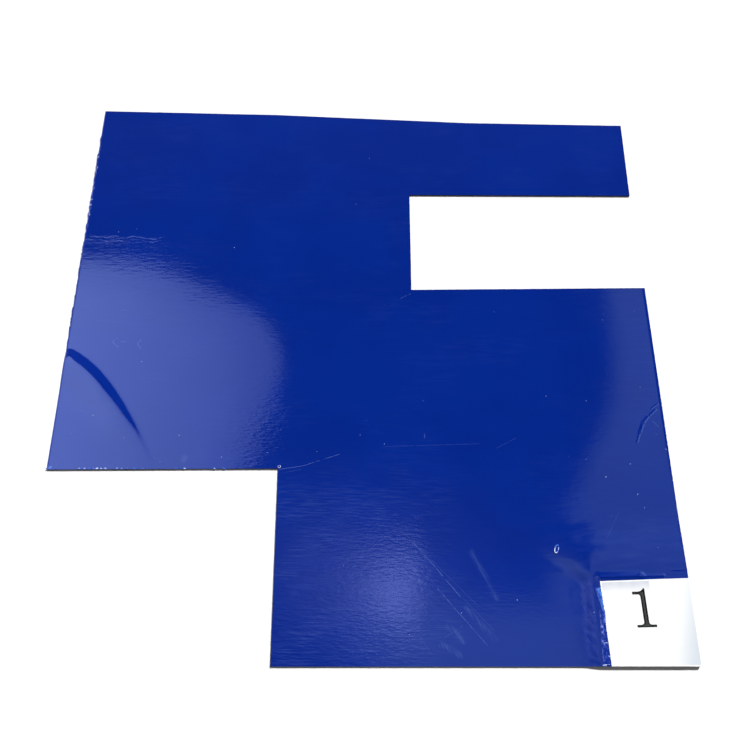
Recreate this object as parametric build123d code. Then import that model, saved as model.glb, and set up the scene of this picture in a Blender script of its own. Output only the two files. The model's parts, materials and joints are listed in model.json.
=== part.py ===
from build123d import *
import math
import os

# Cleanroom sticky mat: a pad of tacky film sheets, peeled one by one, cut by hand to fit round
# equipment. Every sheet carries a numbered pull tab at the same corner, so the pad is thicker
# there and each sheet climbs over the tabs of the sheets below it.
# Millimetres. Plan sizes are measured from the pad's bottom left corner, heights from the floor.

# Stack
film_count = 30
film_thickness = 0.045
tab_thickness = 0.06
liner_thickness = 0.05

# Outline of the pad along its right side, from the bottom up
pad_width = 457.2
block_length = 287.0
slot_mouth = 89.0
arm_width = 74.0

# Slot that opens to the right, cut freehand so that its lips aren't quite square
slot_depth = 187.7
slot_lower_lip_fall = 1.7
slot_upper_lip_rise = 0.9
arm_tip_setback = 1.2

# Rectangle cut away at the bottom left
corner_cut_width = 170.6
corner_cut_length = 136.6
corner_cut_side_lean = 1.3
corner_cut_top_fall = 0.8

# Top edge, cut crooked in three knife strokes: rises above its right end
top_left_rise = 16.3
first_stroke_run = 153.6
first_stroke_rise = 12.0
last_stroke_run = 136.5
last_stroke_rise = 3.1

# Numbered pull tab, stuck on a little askew and trimmed flush with the pad's bottom right corner
tab_width = 61.5
tab_length = 55.5
tab_skew = 2.0

# Seat that each sheet makes for its tab, and the slopes that lead up to it
seat_margin = 1.5
side_slope_run = 12.5
upper_slope_run = 27.0
slope_facets = 4

# How far the cutting forms reach past the pad
reach = 20.0

slot_top = block_length + slot_mouth
right_length = slot_top + arm_width
left_length = right_length + top_left_rise
slot_end = pad_width - slot_depth
tab_left = pad_width - tab_width
tab_skew_rise = tab_width * math.tan(math.radians(tab_skew))
seat_left = tab_left - seat_margin
seat_top = tab_length + tab_skew_rise + seat_margin
middle = Pos(-pad_width / 2, -left_length / 2)


def pad_outline():
    """Plan of the pad, with its slot, its cut-away corner and its crooked top edge."""
    return make_face(
        Polyline(
            (corner_cut_width, 0),
            (pad_width, 0),
            (pad_width, block_length),
            (slot_end, block_length - slot_lower_lip_fall),
            (slot_end, slot_top + slot_upper_lip_rise),
            (pad_width - arm_tip_setback, slot_top),
            (pad_width, right_length),
            (pad_width - last_stroke_run, right_length + last_stroke_rise),
            (first_stroke_run, right_length + first_stroke_rise),
            (0, left_length),
            (0, corner_cut_length - corner_cut_top_fall),
            (corner_cut_width - corner_cut_side_lean, corner_cut_length),
            close=True,
        )
    )


def tab_outline():
    """Plan of a pull tab: a label turned by its skew about its top left corner, then trimmed."""
    label = Rectangle(tab_width + reach, tab_length + reach, align=(Align.MIN, Align.MAX))
    return (Pos(tab_left, tab_length) * Rot(0, 0, tab_skew) * label) & pad_outline()


def pad_height(sheets_below):
    """Height of a sheet's underside over the pad, where only film lies below it."""
    return liner_thickness + sheets_below * film_thickness


def seat_height(sheets_below):
    """Height of a sheet's underside over the tabs: every sheet below has one."""
    return pad_height(sheets_below) + sheets_below * tab_thickness


def slope(start, end, low, high):
    """Corners of a soft climb from low at start to high at end, after its first corner."""
    shares = [facet / slope_facets for facet in range(1, slope_facets + 1)]
    return [(start + (end - start) * t, low + (high - low) * t * t * (3 - 2 * t)) for t in shares]


def ground_under(sheets_below):
    """Solid form of all that lies under a sheet: low under the pad, high under its tab seat."""
    low = pad_height(sheets_below)
    high = seat_height(sheets_below)
    side_foot = seat_left - side_slope_run
    upper_foot = seat_top + upper_slope_run
    right = pad_width + reach
    top = left_length + reach
    seen_from_front = Polyline(
        (-reach, low),
        (side_foot, low),
        *slope(side_foot, seat_left, low, high),
        (right, high),
        (right, -reach),
        (-reach, -reach),
        close=True,
    )
    seen_from_right = Polyline(
        (top, low),
        (upper_foot, low),
        *slope(upper_foot, seat_top, low, high),
        (-reach, high),
        (-reach, -reach),
        (top, -reach),
        close=True,
    )
    side_climb = extrude(Plane.XZ * make_face(seen_from_front), top, both=True)
    upper_climb = extrude(Plane.YZ * make_face(seen_from_right), right, both=True)
    return side_climb & upper_climb


def film_sheet(sheets_below):
    """One sheet of film, laid over the pad and the tabs below it."""
    if sheets_below == 0:
        return Pos(0, 0, pad_height(0)) * extrude(pad_outline(), film_thickness)
    ground = ground_under(sheets_below)
    layer = (Pos(0, 0, film_thickness) * ground) - ground
    return extrude(pad_outline(), seat_height(film_count)) & layer


def number_tab(sheets_below):
    """The pull tab on a sheet, between the sheet's seat and the next sheet's."""
    tab = extrude(tab_outline(), tab_thickness)
    return Pos(0, 0, seat_height(sheets_below) + film_thickness) * tab


def release_liner():
    """Backing left on the underside glue until the pad is stuck down."""
    return extrude(pad_outline(), liner_thickness)


def save(name, *solids):
    """Write one node, centred on the pad's middle."""
    export_step(Compound([middle * solid for solid in solids]), f"parts/{name}.step")


os.makedirs("parts", exist_ok=True)
save("release_liner", release_liner())
for number in range(1, film_count + 1):
    save(f"film_sheet_{number:02d}", film_sheet(film_count - number))
save("number_tab_01", number_tab(film_count - 1))
hidden_tabs = [number_tab(film_count - number) for number in range(2, film_count + 1)]
save(f"number_tabs_02_to_{film_count:02d}", *hidden_tabs)
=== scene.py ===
"""Looks of a cleanroom sticky mat: a pad of tacky blue film sheets with numbered white pull tabs.

Plan positions are in pad millimetres: x to the right from the pad's left edge, y away from its
edge with the pull tabs. Heights are millimetres over the floor. PadFrame turns both into metres
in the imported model's own frame.
"""

import json
import logging
import math
from dataclasses import dataclass, field
from enum import Enum
from functools import reduce

import bpy
import numpy as np
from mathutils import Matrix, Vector
from mathutils.geometry import tessellate_polygon


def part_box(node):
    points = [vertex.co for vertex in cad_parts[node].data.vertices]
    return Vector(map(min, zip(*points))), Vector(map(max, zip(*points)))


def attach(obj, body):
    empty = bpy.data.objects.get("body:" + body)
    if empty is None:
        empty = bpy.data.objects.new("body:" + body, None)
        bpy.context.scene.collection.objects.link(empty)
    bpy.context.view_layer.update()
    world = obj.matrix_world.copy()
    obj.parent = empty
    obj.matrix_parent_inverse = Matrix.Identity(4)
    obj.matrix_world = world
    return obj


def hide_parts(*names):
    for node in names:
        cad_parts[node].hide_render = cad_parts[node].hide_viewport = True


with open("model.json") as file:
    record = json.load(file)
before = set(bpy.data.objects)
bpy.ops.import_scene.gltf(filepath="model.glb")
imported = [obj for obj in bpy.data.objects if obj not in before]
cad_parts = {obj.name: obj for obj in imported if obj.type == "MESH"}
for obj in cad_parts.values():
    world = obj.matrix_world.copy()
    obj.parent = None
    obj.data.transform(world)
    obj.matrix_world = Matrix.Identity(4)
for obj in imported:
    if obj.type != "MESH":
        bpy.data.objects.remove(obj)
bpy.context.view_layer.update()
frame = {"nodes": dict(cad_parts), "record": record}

MM = 0.001
LOG = logging.getLogger("sticky_mat")
Array = np.ndarray
Socket = bpy.types.NodeSocket
Colour = tuple[float, float, float]
Sizes = tuple[float, float, float]
Points = tuple[tuple[float, float], ...]
Line = tuple[float, float, float, float]


class Slot(Enum):
    """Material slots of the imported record."""

    FILM = "tacky_film"
    TAB = "tab_label"
    LINER = "liner_film"
    PRINT = "tab_print"


class Side(Enum):
    """Which way a crease leans: one slope only, or both."""

    ONE = "one"
    BOTH = "both"


class Easing(Enum):
    """How a step goes from its start to its end."""

    SOFT = "SMOOTHSTEP"
    EVEN = "LINEAR"


# Shapes shared by the pieces


def smooth(t: Array) -> Array:
    """Soft step from 0 to 1: three t squared less two t cubed, with t held between 0 and 1."""
    t = np.clip(t, 0.0, 1.0)
    return t * t * (3.0 - 2.0 * t)


def path_frame(x: Array, y: Array, path: Array) -> tuple[Array, Array]:
    """Distance and place of each point along a path.

    Each segment gives the nearest point on it, and the nearest segment wins. The distance is
    positive on the left of the path, and the place runs from 0 at its start to 1 at its end.

    Args:
        x: Pad x of the points.
        y: Pad y of the points.
        path: Rows of x and y that the path runs through.

    Returns:
        The signed distances, in millimetres, and the places.
    """
    lengths = np.hypot(*np.diff(path, axis=0).T)
    starts = np.concatenate(([0.0], np.cumsum(lengths)))
    best = np.full(x.shape, np.inf)
    signed = np.zeros(x.shape)
    place = np.zeros(x.shape)
    for a, b, length, start in zip(path[:-1], path[1:], lengths, starts):
        along = (b - a) / length
        t = np.clip((x - a[0]) * along[0] + (y - a[1]) * along[1], 0.0, length)
        dx = x - a[0] - along[0] * t
        dy = y - a[1] - along[1] * t
        d = np.hypot(dx, dy)
        near = d < best
        best = np.where(near, d, best)
        signed = np.where(near, np.where(along[0] * dy - along[1] * dx >= 0, d, -d), signed)
        place = np.where(near, (start + t) / starts[-1], place)
    return signed, place


def smooth_path(points: Points, count: int = 24) -> Array:
    """Points of a smooth curve near a few given ones: x and y are cubics of the place along them.

    Args:
        points: The given points.
        count: How many points the curve gets.

    Returns:
        Rows of x and y.
    """
    given = np.array(points)
    place = np.concatenate(([0.0], np.cumsum(np.hypot(*np.diff(given, axis=0).T))))
    place /= place[-1]
    degree = min(3, len(given) - 1)
    t = np.linspace(0.0, 1.0, count)
    return np.column_stack([np.polyval(np.polyfit(place, given[:, k], degree), t) for k in (0, 1)])


def value_noise(x: Array, y: Array, seed: int) -> Array:
    """Soft noise from -1 to 1 with a period near 1: seeded lattice values blended by soft steps.

    Args:
        x: First coordinate of the points.
        y: Second coordinate of the points.
        seed: Seed of the lattice.

    Returns:
        The noise at each point.
    """
    lattice = np.random.default_rng(seed).uniform(-1.0, 1.0, (64, 64))
    i, j = np.floor(x).astype(int), np.floor(y).astype(int)
    s, t = smooth(x - i), smooth(y - j)
    at = lambda di, dj: lattice[(i + di) % 64, (j + dj) % 64]
    low = at(0, 0) * (1 - s) + at(1, 0) * s
    high = at(0, 1) * (1 - s) + at(1, 1) * s
    return low * (1 - t) + high * t


def new_mesh_object(
    name: str, vertices: Array, faces: list[tuple[int, ...]] | Array, rounded: bool = False
) -> bpy.types.Object:
    """A mesh object at the origin.

    Args:
        name: Name of the object.
        vertices: Rows of x, y and z in metres.
        faces: Rows of vertex numbers, pointing outwards.
        rounded: Whether the faces are shaded smooth.

    Returns:
        The object, in the scene.
    """
    mesh = bpy.data.meshes.new(name)
    rows = faces.tolist() if isinstance(faces, np.ndarray) else faces
    mesh.from_pydata(vertices.tolist(), [], rows)
    mesh.update()
    mesh.validate()
    mesh.polygons.foreach_set("use_smooth", np.full(len(mesh.polygons), rounded))
    piece = bpy.data.objects.new(name, mesh)
    bpy.context.scene.collection.objects.link(piece)
    return piece


def slab_faces(cells: Array, top: Array, bottom: Array) -> Array:
    """Faces of a closed slab over a grid with missing cells.

    Every cell that is there gets a face above and one below. Where a cell has no neighbour, a wall
    joins the two grids.

    Args:
        cells: True where the grid has a cell, rows by columns.
        top: Vertex numbers of the upper grid, one row and column more than cells.
        bottom: Vertex numbers of the lower grid.

    Returns:
        Rows of four vertex numbers, all pointing outwards.
    """
    ring = np.pad(cells, 1)
    faces = []
    for grid, turned in ((top, False), (bottom, True)):
        quad = np.stack([grid[:-1, :-1], grid[:-1, 1:], grid[1:, 1:], grid[1:, :-1]], axis=-1)[cells]
        faces.append(quad[:, ::-1] if turned else quad)
    for shift, first, second in (
        ((-1, 0), np.s_[:-1, :-1], np.s_[:-1, 1:]),
        ((0, 1), np.s_[:-1, 1:], np.s_[1:, 1:]),
        ((1, 0), np.s_[1:, 1:], np.s_[1:, :-1]),
        ((0, -1), np.s_[1:, :-1], np.s_[:-1, :-1]),
    ):
        rows = slice(1 + shift[0], ring.shape[0] - 1 + shift[0])
        columns = slice(1 + shift[1], ring.shape[1] - 1 + shift[1])
        wall = np.stack([bottom[first], bottom[second], top[second], top[first]], axis=-1)
        faces.append(wall[cells & ~ring[rows, columns]])
    return np.concatenate(faces)


@dataclass(frozen=True)
class PadFrame:
    """The pad's own millimetres, and where its sheets lie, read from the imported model."""

    low: Vector = field(default_factory=lambda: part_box("release_liner")[0])
    high: Vector = field(default_factory=lambda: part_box("release_liner")[1])

    @property
    def width(self) -> float:
        """Width of the pad."""
        return (self.high.x - self.low.x) / MM

    @property
    def film(self) -> float:
        """Thickness of one sheet of film."""
        low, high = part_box("film_sheet_30")
        return (high.z - low.z) / MM

    @property
    def flat_underside(self) -> float:
        """Height of the top sheet's underside over the pad."""
        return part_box("film_sheet_01")[0].z / MM

    @property
    def seat_underside(self) -> float:
        """Height of the top sheet's underside over the stack of tabs."""
        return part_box("film_sheet_01")[1].z / MM - self.film

    @property
    def tab_top(self) -> float:
        """Height of the top tab's face."""
        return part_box("number_tab_01")[1].z / MM

    def corner(self, x: float, y: float) -> tuple[float, float]:
        """The corner of the pad's cut outline that lies nearest to a place.

        Args:
            x: Pad x of the place.
            y: Pad y of the place.

        Returns:
            Pad x and y of the corner.
        """
        mesh = frame["nodes"]["release_liner"].data
        co = np.empty(len(mesh.vertices) * 3, np.float32)
        mesh.vertices.foreach_get("co", co)
        plan = (co.reshape(-1, 3)[:, :2] - np.array(self.low)[:2]) / MM
        near = plan[np.argmin(np.hypot(plan[:, 0] - x, plan[:, 1] - y))]
        return float(near[0]), float(near[1])

    def to_model(self, x: Array, y: Array, z: Array) -> Array:
        """Pad millimetres as rows of model metres."""
        plan = np.stack([np.ravel(x), np.ravel(y), np.ravel(z)], axis=-1) * MM
        return plan + np.array([self.low.x, self.low.y, 0.0])

    def point(self, x: float, y: float, z: float) -> Vector:
        """One pad point in model metres."""
        return Vector(self.to_model(np.array(x), np.array(y), np.array(z))[0])

    def film_piece(self, name: str, x: Array, y: Array, under: Array, cells: Array) -> bpy.types.Object:
        """A piece of film: a grid, the same one a film's thickness down, and walls round them.

        Args:
            name: Name of the piece.
            x: Pad x of the grid, rows by columns.
            y: Pad y of the grid.
            under: Heights of the film's underside.
            cells: True where the grid has film.

        Returns:
            The piece, without the points that no face uses.
        """
        upper = np.arange(x.size).reshape(x.shape)
        faces = slab_faces(cells, upper, upper + x.size)
        vertices = np.concatenate([self.to_model(x, y, under + self.film), self.to_model(x, y, under)])
        used = np.unique(faces)
        renumber = np.zeros(2 * x.size, int)
        renumber[used] = np.arange(len(used))
        return new_mesh_object(name, vertices[used], renumber[faces], rounded=True)


# Wiring of the finishes


class Value:
    """A number worked out by shader nodes, with the usual arithmetic."""

    def __init__(self, tree: bpy.types.NodeTree, socket: Socket) -> None:
        """Hold a socket and the tree that it is in."""
        self.tree = tree
        self.socket = socket

    def math(self, operation: str, *others: "float | Value") -> "Value":
        """A math node on this value and further ones.

        Args:
            operation: The node's operation.
            others: The further values.

        Returns:
            The node's result.
        """
        node = self.tree.nodes.new("ShaderNodeMath")
        node.operation = operation
        for socket, value in zip(node.inputs, (self, *others)):
            feed(self.tree, value, socket)
        return Value(self.tree, node.outputs[0])

    def __add__(self, other: "float | Value") -> "Value":
        """Sum."""
        return self.math("ADD", other)

    def __sub__(self, other: "float | Value") -> "Value":
        """Difference."""
        return self.math("SUBTRACT", other)

    def __mul__(self, other: "float | Value") -> "Value":
        """Product."""
        return self.math("MULTIPLY", other)

    def at_least(self, other: "float | Value") -> "Value":
        """The larger of the two."""
        return self.math("MAXIMUM", other)

    def at_most(self, other: "float | Value") -> "Value":
        """The smaller of the two."""
        return self.math("MINIMUM", other)

    def step(
        self, start: float, end: float, low: float = 0.0, high: float = 1.0, easing: Easing = Easing.SOFT
    ) -> "Value":
        """Step from low, where this value is start or beyond, to high, where it is end or beyond.

        Args:
            start: This value where the step starts.
            end: This value where the step ends.
            low: Result before the start.
            high: Result after the end.
            easing: How it goes between them.

        Returns:
            The step.
        """
        node = self.tree.nodes.new("ShaderNodeMapRange")
        node.interpolation_type = easing.value
        for socket, value in zip(node.inputs, (self, start, end, low, high)):
            feed(self.tree, value, socket)
        return Value(self.tree, node.outputs["Result"])


def feed(tree: bpy.types.NodeTree, value: float | Colour | Value | Socket, target: Socket) -> None:
    """Give a socket its value: a link, or else a number or a colour of its own.

    Args:
        tree: The node tree.
        value: What the socket gets.
        target: The socket.
    """
    if isinstance(value, Value):
        value = value.socket
    if isinstance(value, bpy.types.NodeSocket):
        tree.links.new(value, target)
    else:
        target.default_value = (*value, 1.0) if isinstance(value, tuple) else value


def distance_to(x: Value, y: Value, line: Line) -> Value:
    """Distance from a point to the segment between two others.

    The part along the segment past its ends and the part across it are squared and added, and
    the distance is the root.

    Args:
        x: Pad x of the point.
        y: Pad y of the point.
        line: Pad x and y of one end, then of the other.

    Returns:
        The distance.
    """
    x0, y0, x1, y1 = line
    length = math.hypot(x1 - x0, y1 - y0)
    ux, uy = (x1 - x0) / length, (y1 - y0) / length
    along = x * ux + (y * uy + (-ux * x0 - uy * y0 - length / 2))
    across = y * ux + (x * -uy + (uy * x0 - ux * y0))
    past = (along.math("ABSOLUTE") - length / 2).at_least(0.0)
    return (across * across + past * past).math("SQRT")


def distance_to_nearest(x: Value, y: Value, lines: tuple[Line, ...]) -> Value:
    """Distance from a point to the nearest of several segments."""
    return reduce(Value.at_most, [distance_to(x, y, line) for line in lines])


class Wiring:
    """A node tree, emptied, with helpers to wire it."""

    def __init__(self, tree: bpy.types.NodeTree) -> None:
        """Empty the tree and keep it."""
        self.tree = tree
        tree.nodes.clear()

    def node(self, kind: str) -> bpy.types.Node:
        """A new shader node."""
        return self.tree.nodes.new(f"ShaderNode{kind}")

    def value(self, socket: Socket) -> Value:
        """A socket's number."""
        return Value(self.tree, socket)

    def parts(self, vector: Socket) -> list[Value]:
        """Parts of a vector.

        Args:
            vector: The vector.

        Returns:
            Its x, y and z.
        """
        node = self.node("SeparateXYZ")
        self.tree.links.new(vector, node.inputs["Vector"])
        return [self.value(socket) for socket in node.outputs]

    def blend(self, factor: Value, first: Colour | Socket, second: Colour | Socket) -> Socket:
        """Mix of two colours.

        Args:
            factor: Share of the second.
            first: First colour.
            second: Second colour.

        Returns:
            The mixed colour.
        """
        node = self.node("Mix")
        node.data_type = "RGBA"
        sockets = [s for s in node.inputs if s.type == "RGBA"]
        for socket, value in zip((node.inputs["Factor"], *sockets), (factor, first, second)):
            feed(self.tree, value, socket)
        return next(s for s in node.outputs if s.type == "RGBA")


class Finish(Wiring):
    """A material with a principled shader, and the shaded point's place on the pad."""

    def __init__(self, name: str, pad: PadFrame) -> None:
        """Make the material, and work out the place from Object coordinates.

        Args:
            name: Name of the material.
            pad: The pad whose millimetres are used.
        """
        self.material = bpy.data.materials.new(name)
        self.material.use_nodes = True
        super().__init__(self.material.node_tree)
        self.shader = self.node("BsdfPrincipled")
        output = self.node("OutputMaterial")
        self.tree.links.new(self.shader.outputs["BSDF"], output.inputs["Surface"])
        mapping = self.node("Mapping")
        mapping.inputs["Scale"].default_value = (1.0 / MM,) * 3
        mapping.inputs["Location"].default_value = (-pad.low.x / MM, -pad.low.y / MM, 0.0)
        self.tree.links.new(self.node("TexCoord").outputs["Object"], mapping.inputs["Vector"])
        self.place = mapping.outputs["Vector"]
        self.x, self.y, _ = self.parts(self.place)

    def paint(self, socket: str, value: float | Colour | Value | Socket) -> None:
        """Give one of the shader's sockets its value."""
        feed(self.tree, value, self.shader.inputs[socket])

    def noise(self, period: tuple[float, float], detail: float = 2.0, turn: float = 0.0) -> Value:
        """Noise over the pad.

        Args:
            period: Its size along x and y.
            detail: Its octaves.
            turn: Its turn, in radians.

        Returns:
            The noise, round a half.
        """
        mapping = self.node("Mapping")
        mapping.vector_type = "TEXTURE"
        mapping.inputs["Scale"].default_value = (*period, 1.0)
        mapping.inputs["Rotation"].default_value = (0.0, 0.0, turn)
        self.tree.links.new(self.place, mapping.inputs["Vector"])
        node = self.node("TexNoise")
        node.inputs["Scale"].default_value = 1.0
        node.inputs["Detail"].default_value = detail
        self.tree.links.new(mapping.outputs["Vector"], node.inputs["Vector"])
        return self.value(node.outputs["Fac"])

    def bump(self, height: Value, unit: float) -> Socket:
        """Normal of a bumpy surface.

        Args:
            height: The bumps' height.
            unit: The height's unit, in metres.

        Returns:
            The normal.
        """
        node = self.node("Bump")
        node.inputs["Distance"].default_value = unit
        node.inputs["Strength"].default_value = 1.0
        feed(self.tree, height, node.inputs["Height"])
        return node.outputs["Normal"]

    def shaded_cut_edge(self) -> Value:
        """1 on upright faces, where the knife cut and where the finishes paint shade, and 0 on level ones,
        by the normal's z.
        """
        _, _, z = self.parts(self.node("NewGeometry").outputs["True Normal"])
        return z.math("ABSOLUTE").step(0.6, 0.2)


# Finishes


@dataclass(frozen=True)
class Ridge:
    """A fine straight fold in the film, broken up or whole."""

    line: Line
    half_width: float
    height: float
    broken: bool = False


@dataclass(frozen=True)
class TackyFilm:
    """Blue polyethylene film: glossy, finely rippled and scratched, and painted near black along its cut
    edges as shade.
    """

    name: str = "tacky_blue_film"
    blue: Colour = (0.0006, 0.0176, 0.226)
    deep_blue: Colour = (0.0006, 0.0158, 0.207)
    # Near black on the upright cut faces: painted shade, standing for the stack's dark sides in shadow.
    shaded_cut_edge: Colour = (0.001, 0.003, 0.016)
    haze_blue: Colour = (0.030, 0.062, 0.300)
    scuff_blue: Colour = (0.090, 0.140, 0.400)
    roughness: float = 0.06
    ripple_period: tuple[float, float] = (7.5, 1.9)
    short_ripple_period: tuple[float, float] = (5.0, 1.4)
    ripple_height: float = 0.037
    edge_curl: float = 0.13
    edge_duller: float = 0.8
    handled_duller: float = 0.14
    scuff_strength: float = 0.8
    hairline_strength: float = 0.35
    spot_strength: float = 0.16
    smear_strength: float = 0.8
    haze_period: tuple[float, float] = (15.0, 0.8)
    scratch_width: float = 0.20
    scratches: tuple[Line, ...] = (
        (266.4, 82.9, 282.0, 66.0), (282.0, 66.0, 299.4, 44.6), (283.6, 50.8, 298.0, 34.0),
        (298.0, 34.0, 316.0, 13.4), (277.0, 164.4, 277.3, 160.2), (170.6, 136.0, 187.0, 138.5),
        (187.0, 138.5, 214.0, 147.5), (260.6, 277.4, 268.6, 281.6), (35.1, 239.1, 39.2, 242.9),
        (35.1, 239.1, 40.1, 234.4), (42.0, 239.1, 45.1, 239.1), (54.7, 237.3, 57.4, 241.1),
        (54.7, 237.3, 58.3, 233.0),
    )
    hairlines: tuple[Line, ...] = (
        (246.6, 153.4, 318.0, 155.6), (286.5, 18.0, 300.0, 26.0), (414.5, 103.5, 404.3, 85.4),
        (171.5, 133.0, 186.0, 136.0), (330.0, 152.0, 345.0, 160.0), (262.0, 88.0, 310.0, 40.0),
        (286.0, 60.0, 322.0, 22.0), (270.0, 20.0, 278.0, 8.0),
    )
    smears: tuple[Line, ...] = (
        (308.0, 76.0, 324.0, 44.0), (303.0, 38.0, 322.0, 17.0), (290.0, 26.0, 300.0, 16.0),
        (285.0, 14.0, 298.0, 7.0),
    )
    smear_width: float = 3.2
    oval_spot: Line = (99.7, 143.2, 100.1, 144.8)
    ridges: tuple[Ridge, ...] = (
        Ridge((441.1, 172.0, 437.8, 164.4), 1.9, 0.27),
        Ridge((437.8, 164.4, 434.9, 156.9), 1.4, 0.15),
        Ridge((445.2, 176.5, 441.1, 172.0), 1.8, 0.24),
        Ridge((451.8, 182.3, 447.0, 178.0), 1.4, 0.16),
        Ridge((454.3, 187.3, 448.8, 183.4), 1.2, 0.12),
        Ridge((448.5, 174.0, 453.0, 168.9), 1.3, -0.05),
        Ridge((-3.0, 336.0, 66.0, 334.0), 1.3, 0.036, True),
        Ridge((-3.0, 332.6, 66.0, 330.8), 1.3, 0.034, True),
        Ridge((396.5, 58.4, 424.0, 59.2), 5.0, 0.7),
        Ridge((424.0, 58.9, 440.0, 59.4), 2.4, 0.3),
        Ridge((447.0, 63.2, 456.5, 63.6), 1.5, 0.08),
    )

    def build(self, pad: PadFrame) -> bpy.types.Material:
        """The film's material, with a duller left edge and a duller place by the tab.

        Args:
            pad: The pad that it lies on.

        Returns:
            The material.
        """
        f = Finish(self.name, pad)
        body = f.blend(f.noise((70.0, 55.0), 3.0).step(0.35, 0.65), self.deep_blue, self.blue)
        body = f.blend(self.haze(f), body, self.haze_blue)
        scuff = self.scratch_mask(f, self.scratches)
        scuff = scuff.at_least(self.scratch_mask(f, self.hairlines) * self.hairline_strength)
        scuff = scuff.at_least(distance_to(f.x, f.y, self.oval_spot).step(2.6, 1.8) * self.spot_strength)
        body = f.blend(scuff * self.scuff_strength, body, self.scuff_blue)
        body = f.blend(self.smear_mask(f), body, self.haze_blue)
        # The upright cut faces get the near black colour: painted shade.
        f.paint("Base Color", f.blend(f.shaded_cut_edge(), body, self.shaded_cut_edge))
        wear = f.noise((26.0, 14.0), 4.0).step(0.52, 0.75) * 0.03
        left_edge = f.x.step(1.1, 0.5) * 0.5
        by_tab = f.x.step(372.0, 382.0) * f.y.step(64.0, 54.0) * self.handled_duller
        rough = wear + self.roughness + f.shaded_cut_edge() * self.edge_duller + left_edge + by_tab
        f.paint("Roughness", rough + scuff * 0.2)
        f.paint("Normal", self.surface(f, pad.width))
        return f.material

    def surface(self, f: Finish, pad_width: float) -> Socket:
        """Bump of the ripples, of the fine folds and of the right edge, which curls up a little.

        The ripples cross the film's run. They are long near the far end, short near the tab end,
        patchy, and deepest in a band beside the left edge. The folds waver a little.

        Args:
            f: The film's finish.
            pad_width: Pad x of the right edge.

        Returns:
            The normal.
        """
        x, y = f.x, f.y
        far = y.step(190.0, 285.0)
        near = y.step(285.0, 190.0)
        ripples = f.noise(self.ripple_period, 3.0, 0.03) * far
        ripples = ripples + f.noise(self.short_ripple_period, 2.0, -0.05) * near
        depth = f.noise((60.0, 25.0)).step(0.38, 0.62, 0.55, 1.0)
        band = y.step(327.0, 331.0) * y.step(340.0, 336.0) * x.step(95.0, 30.0)
        middle = y.step(125.0, 90.0) * x.step(300.0, 270.0)
        rim = x.step(118.0, 140.0) * x.step(188.0, 172.0) * y.step(205.0, 170.0)
        depth = depth + band * 0.9 + middle * 0.8 + rim * 1.3
        height = ripples * depth * self.ripple_height
        gaps = f.noise((9.0, 2.5)).step(0.36, 0.60)
        waver = f.noise((11.0, 30.0), 3.0) * 8.0 - 4.0
        y = y + waver * y.step(300.0, 320.0)
        for ridge in self.ridges:
            share = (distance_to(x, y, ridge.line) * (-1.0 / ridge.half_width) + 1.0).at_least(0.0)
            share = share * share * (gaps if ridge.broken else 1.0)
            height = height + share * ridge.height
        height = height + x.step(pad_width - 2.4, pad_width + 0.4) * self.edge_curl
        return f.bump(height, MM)

    def haze(self, f: Finish) -> Value:
        """Share of the scuffed haze: thin streaks across the film's run, and folds above the tab.

        Args:
            f: The film's finish.

        Returns:
            The share of the haze's colour.
        """
        streaks = f.noise(self.haze_period, 4.0, -0.02).step(0.42, 0.72)
        patches = f.noise((55.0, 30.0)).step(0.42, 0.68)
        middle = f.y.step(150.0, 90.0) * f.x.step(340.0, 240.0)
        over_tab = f.y.step(60.0, 68.0) * f.y.step(112.0, 90.0) * f.x.step(350.0, 385.0)
        folds = f.noise((20.0, 5.5), 2.0, 0.06).step(0.42, 0.66) * over_tab
        return streaks * patches * (middle * 0.40 + 0.10) + folds * 0.09

    def scratch_mask(self, f: Finish, lines: tuple[Line, ...]) -> Value:
        """1 on a scratch and 0 off it, broken up by noise so that no scratch is even."""
        mask = distance_to_nearest(f.x, f.y, lines).step(self.scratch_width, self.scratch_width * 0.3)
        return mask * f.noise((3.0, 3.0)).step(0.25, 0.55)

    def smear_mask(self, f: Finish) -> Value:
        """Share of the soft smears: strongest on their lines, and streaky along their lean."""
        mask = distance_to_nearest(f.x, f.y, self.smears).step(self.smear_width, 0.0)
        return mask * f.noise((0.7, 11.0), 3.0, 0.47).step(0.35, 0.75) * self.smear_strength


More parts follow.
